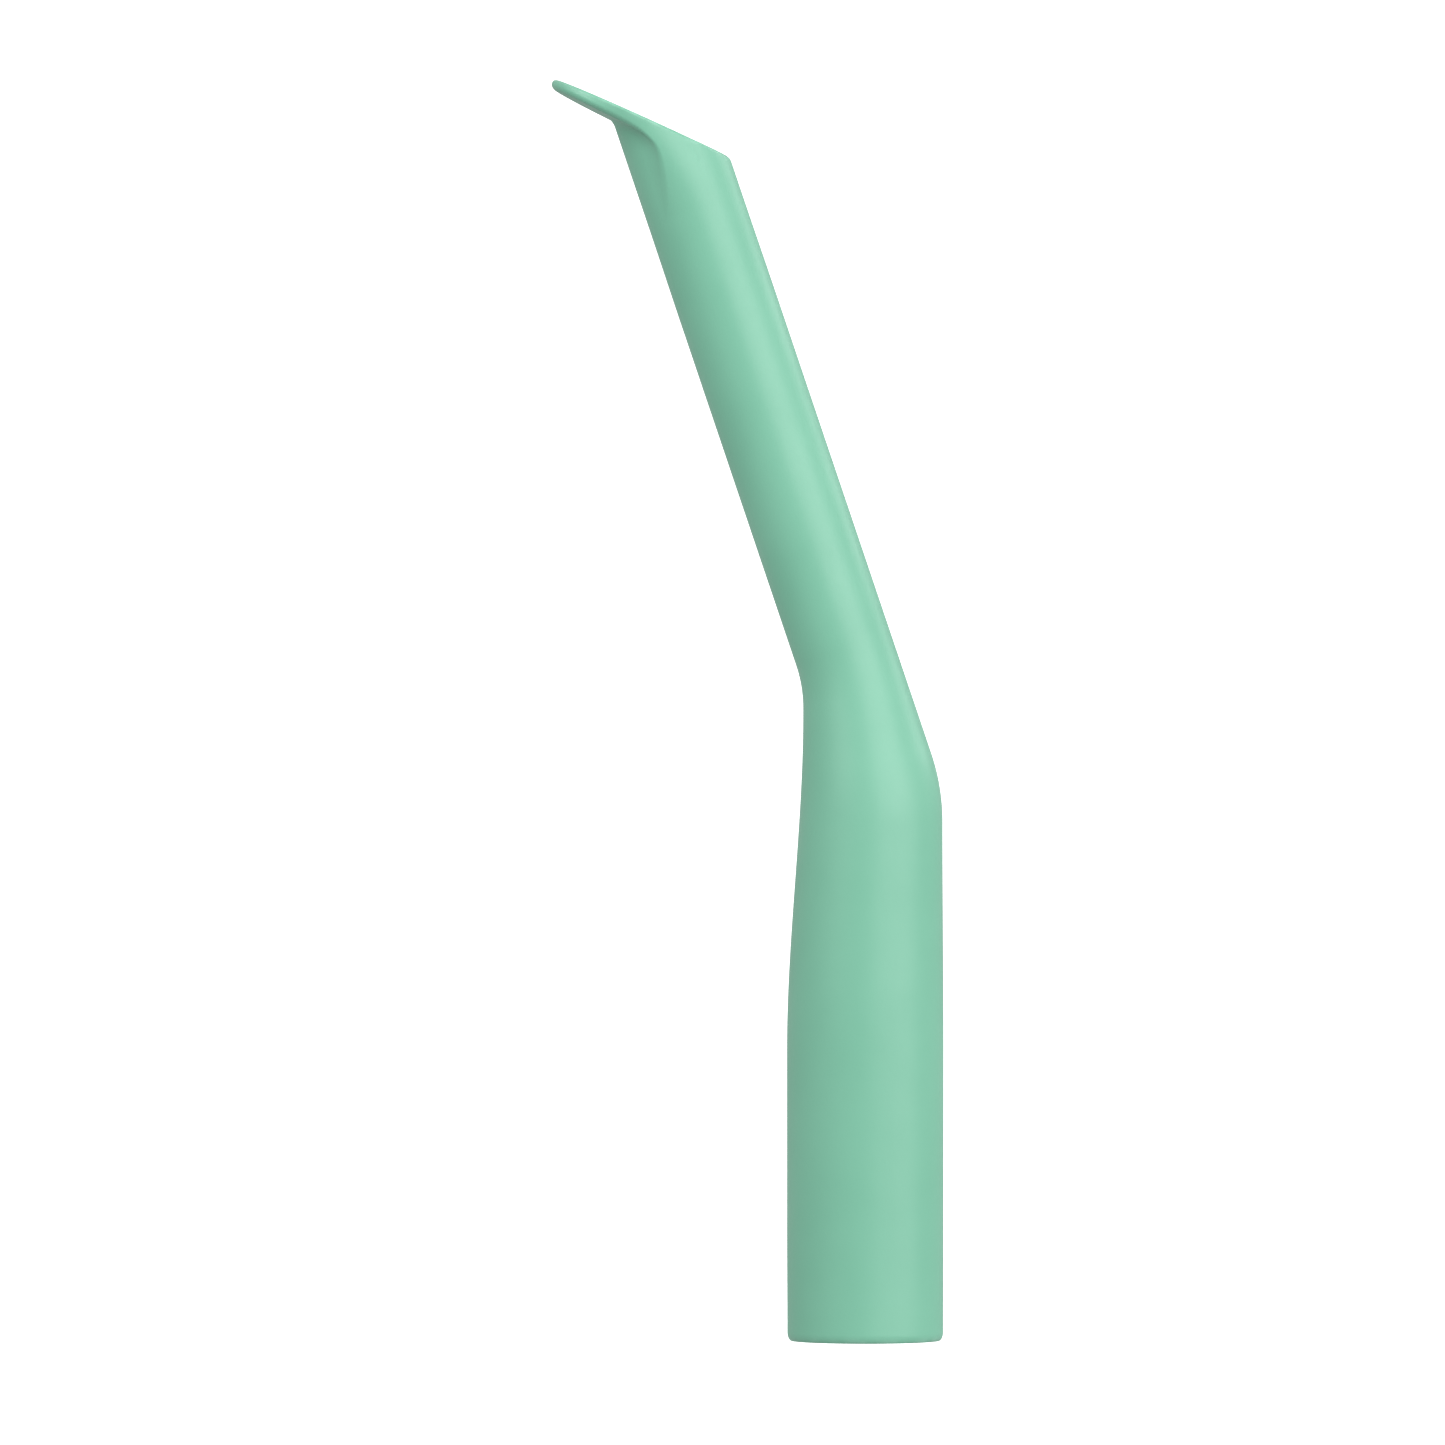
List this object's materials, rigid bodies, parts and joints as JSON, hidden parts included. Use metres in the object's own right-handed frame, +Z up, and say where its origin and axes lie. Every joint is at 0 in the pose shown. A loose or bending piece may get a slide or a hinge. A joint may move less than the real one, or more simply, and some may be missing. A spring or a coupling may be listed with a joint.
{
  "type": "dental suction tip",
  "caption": "Bent dental suction cannula: thick hose spigot, one-sided tapered shank, fixed elbow, slim straight tube and a bevelled scoop mouth with an overhanging cheek lip.",
  "frame": {"origin": "centre of the hose spigot's bottom rim, in the plane that the part stands on", "axes": "+Z up along the hose spigot's axis, towards the mouth; the bend lies in the XZ plane and leans towards -X; Y is across the part, which is symmetric about Y = 0"},
  "size_m": [0.0404, 0.016, 0.1294],
  "materials": {
    "moulded_plastic": "satin injection-moulded polypropylene, pale mint green"
  },
  "bodies": {
    "root": {"hose_spigot": "moulded_plastic", "tapered_shank": "moulded_plastic", "elbow": "moulded_plastic", "suction_tube": "moulded_plastic", "scoop_mouth": "moulded_plastic", "cheek_lip": "moulded_plastic"}
  },
  "joints": []
}
